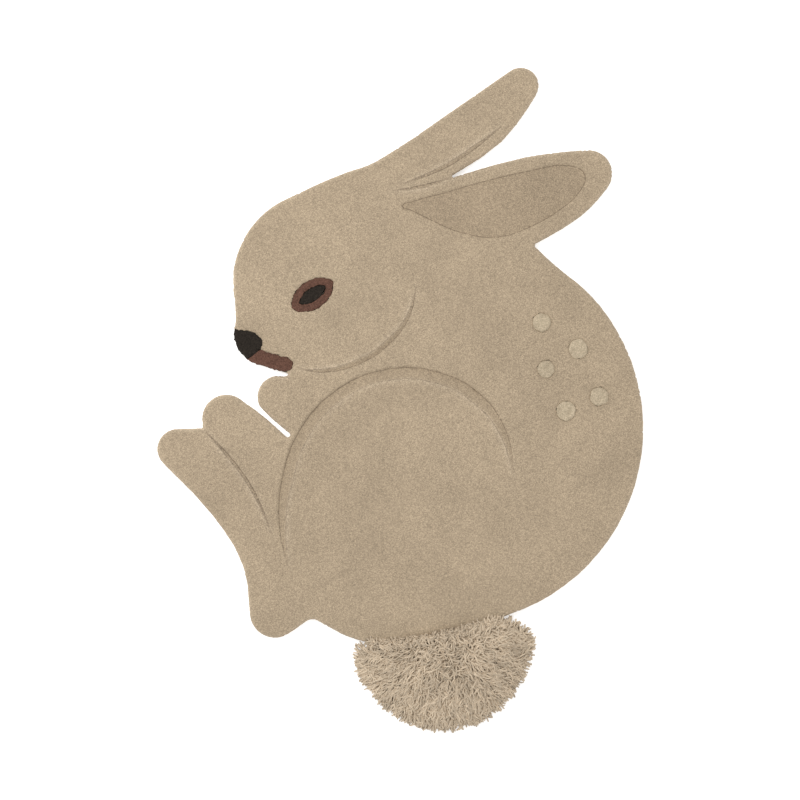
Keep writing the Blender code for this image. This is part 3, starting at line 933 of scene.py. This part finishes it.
def tail_strands(name, sink):
    """Centre lines, radii and shades of one layer of strands, lying this far under the tail's surface."""
    chance = draws(name)
    roots = strand_roots(chance)
    count = len(roots)
    low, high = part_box("tail_shag")
    middle = np.array([(low[0] + high[0]) / 2, low[1] + PARTING * (high[1] - low[1])])
    out = roots - middle
    near, far = INNER_RADII
    inner = np.clip((far - np.linalg.norm(out, axis=1)) / (far - near), 0, 1)
    depth, outwards = tail_rim.depth(roots)
    free_rim = (depth < FREE_DEPTH) & (outwards[:, 1] < UPWARDS)
    at_ground = (depth < GROUND_DEPTH) & (outwards[:, 1] > UPWARDS)
    heading = strand_headings(chance, roots, out, inner, free_rim, at_ground, outwards)
    length = chance.uniform(*STRAND_LENGTH, count) * np.where(free_rim, RIM_STRAND, 1)
    length = length * (1 - INNER_STRAND * inner)
    length = np.where(at_ground, length * EDGE_STRAND, length)
    radius = chance.uniform(*STRAND_RADIUS, count)
    wave = chance.uniform(*WAVE_HEIGHT, count)
    wave_turns = length / chance.uniform(*WAVE_LENGTH, count) * math.tau
    phase = chance.uniform(0, math.tau, count)
    bend = chance.normal(0, BEND, count)
    layer = chance.uniform(*LAYERS, count) - sink
    centres = strand_lines(roots, radius, heading, length, wave, wave_turns, phase, bend, layer)
    strand_shade = SHADES[0] * chance.normal(0, 1, count)
    clump_shade = SHADES[1] * value_noise(roots, SHADE_PITCH, "clump shade")
    return centres, radius, np.clip(0.5 + strand_shade + clump_shade, 0, 1)


def tube_faces(count, rings):
    """The faces of all tubes: their sides, and a cap at each end."""
    first = np.arange(count)[:, None, None] * rings * STRAND_SIDES
    ring = np.arange(rings - 1)[None, :, None] * STRAND_SIDES
    k = np.arange(STRAND_SIDES)[None, None, :]
    a = first + ring + k
    b = first + ring + (k + 1) % STRAND_SIDES
    quads = np.stack([a, b, b + STRAND_SIDES, a + STRAND_SIDES], axis=-1).reshape(-1, 4)
    start = (first + k)[:, 0, ::-1]
    end = (first + (rings - 1) * STRAND_SIDES + k)[:, 0]
    return quads.tolist() + start.tolist() + end.tolist()


def give_strand_uv(mesh, rise):
    """Coordinates on the strands: the turn round one, and the way along it."""
    corners = np.empty(len(mesh.loops), int)
    mesh.loops.foreach_get("vertex_index", corners)
    turn = (corners % STRAND_SIDES) / STRAND_SIDES
    run = rise[corners] * TWIST_RUN
    mesh.uv_layers.new(name="strand").data.foreach_set("uv", np.column_stack([turn, run]).ravel())


def tubes(name, centres, radius, shade, material, slot_name):
    """Strands of yarn as closed tubes round their centre lines."""
    count, rings, _ = centres.shape
    along = np.gradient(centres, axis=1)
    along /= np.linalg.norm(along, axis=2)[..., None]
    side = np.cross(along, UP)
    side /= np.maximum(np.linalg.norm(side, axis=2), NO_LENGTH)[..., None]
    top = np.cross(side, along)
    around = np.arange(STRAND_SIDES) / STRAND_SIDES * math.tau
    taper = np.ones(rings)
    taper[-len(END_TAPER):] = END_TAPER
    circle = np.cos(around)[:, None] * side[:, :, None] + np.sin(around)[:, None] * top[:, :, None]
    points = centres[:, :, None] + circle * (radius[:, None] * taper[None])[:, :, None, None]
    points[..., 2] = np.maximum(points[..., 2], 0)
    faces = tube_faces(count, rings)
    obj = mesh_piece(name, points.reshape(-1, 3), faces, material)
    give_attribute(obj, "shade", np.repeat(shade, rings * STRAND_SIDES))
    rise = np.tile(np.repeat(np.linspace(0, 1, rings), STRAND_SIDES), count)
    give_attribute(obj, "rise", rise)
    give_strand_uv(obj.data, rise)
    return obj


UNDER_LAYER = 4 * MM
strands = tubes("tail_yarn", *tail_strands("strands", 0), tail_wool, "tail_wool")
under = tubes("tail_yarn_under", *tail_strands("under", UNDER_LAYER), tail_wool, "tail_wool")

# The dense pile that the strands grow from.
BASE_CELL = 4 * MM
BASE_INSET = 4 * MM
BASE_SINK = 8 * MM  # how far under the strands' surface it lies
BASE_ROUND = 9 * MM


def base_depth(xy):
    depth, outwards = tail_rim.depth(xy)
    return depth - BASE_INSET, outwards


def base_top(xy, depth):
    return tail_surface(xy) - BASE_SINK - rounded(depth, BASE_ROUND), 0


base = pile_field("tail_base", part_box("tail_shag"), BASE_CELL, base_depth, base_top, root_wool, "tail_wool")
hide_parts("tail_shag")

# Studio. The floor is lit from below too, like a light table, as the photograph has next to no shadow.
FLOOR_HALF = 40
FLOOR_DROP = 0.2 * MM
FLOOR_WHITE = 0.93
FLOOR_GLOW = 0.42
WALL_LIGHT = 1.05
SKY_LIGHT = 0.71
FADE = (0.3, 0.6)  # upward part of the direction where the walls start to fade, and where they end


def floor():
    mesh = bpy.data.meshes.new("floor")
    corners = [(x * FLOOR_HALF, y * FLOOR_HALF, 0) for x, y in ((-1, -1), (1, -1), (1, 1), (-1, 1))]
    mesh.from_pydata(corners, [], [(0, 1, 2, 3)])
    made = Nodes("floor_white")
    made.shader.inputs["Base Color"].default_value = (FLOOR_WHITE, FLOOR_WHITE, FLOOR_WHITE, 1)
    made.shader.inputs["Roughness"].default_value = 0.9
    made.shader.inputs["Emission Color"].default_value = (1, 1, 1, 1)
    made.shader.inputs["Emission Strength"].default_value = FLOOR_GLOW
    mesh.materials.append(made.material)
    obj = bpy.data.objects.new("floor", mesh)
    obj.location.z = -FLOOR_DROP
    bpy.context.scene.collection.objects.link(obj)


def area_light(name, place, size, power):
    """A round light that looks at the rug's middle."""
    light = bpy.data.lights.new(name, "AREA")
    light.shape = "DISK"
    light.size = size
    light.energy = power
    obj = bpy.data.objects.new(name, light)
    obj.location = place
    obj.rotation_euler = (-Vector(place)).to_track_quat("-Z", "Y").to_euler()
    bpy.context.scene.collection.objects.link(obj)


def studio_light():
    """White all round: brighter down at the walls of the studio than overhead."""
    world = bpy.data.worlds.new("studio")
    world.use_nodes = True
    tree = world.node_tree
    at = tree.nodes.new("ShaderNodeTexCoord")
    parts = tree.nodes.new("ShaderNodeSeparateXYZ")
    strength = tree.nodes.new("ShaderNodeMapRange")
    spans = {"From Min": FADE[0], "From Max": FADE[1], "To Min": WALL_LIGHT, "To Max": SKY_LIGHT}
    for socket, value in spans.items():
        strength.inputs[socket].default_value = value
    tree.links.new(at.outputs["Generated"], parts.inputs[0])
    tree.links.new(parts.outputs["Z"], strength.inputs["Value"])
    tree.links.new(strength.outputs["Result"], tree.nodes["Background"].inputs["Strength"])
    tree.nodes["Background"].inputs["Color"].default_value = (1, 1, 1, 1)
    bpy.context.scene.world = world


# The photograph: its width, and how much of the rug one of its pixels shows.
IMAGE_PX = 800
MM_PER_PX = 1.81
CAMERA_HEIGHT = 6
SENSOR_MM = 36


def camera():
    data = bpy.data.cameras.new("camera")
    data.sensor_width = SENSOR_MM
    data.lens = SENSOR_MM * CAMERA_HEIGHT / (IMAGE_PX * MM_PER_PX * MM)
    obj = bpy.data.objects.new("camera", data)
    obj.location = (0, 0, CAMERA_HEIGHT)
    bpy.context.scene.collection.objects.link(obj)
    bpy.context.scene.camera = obj


floor()
camera()
area_light("key", place=(-1.65, 1.1, 2.55), size=1.2, power=52)
area_light("fill", place=(2.2, -1.2, 3.6), size=2.4, power=20)
studio_light()
bpy.context.scene.view_settings.view_transform = "Standard"
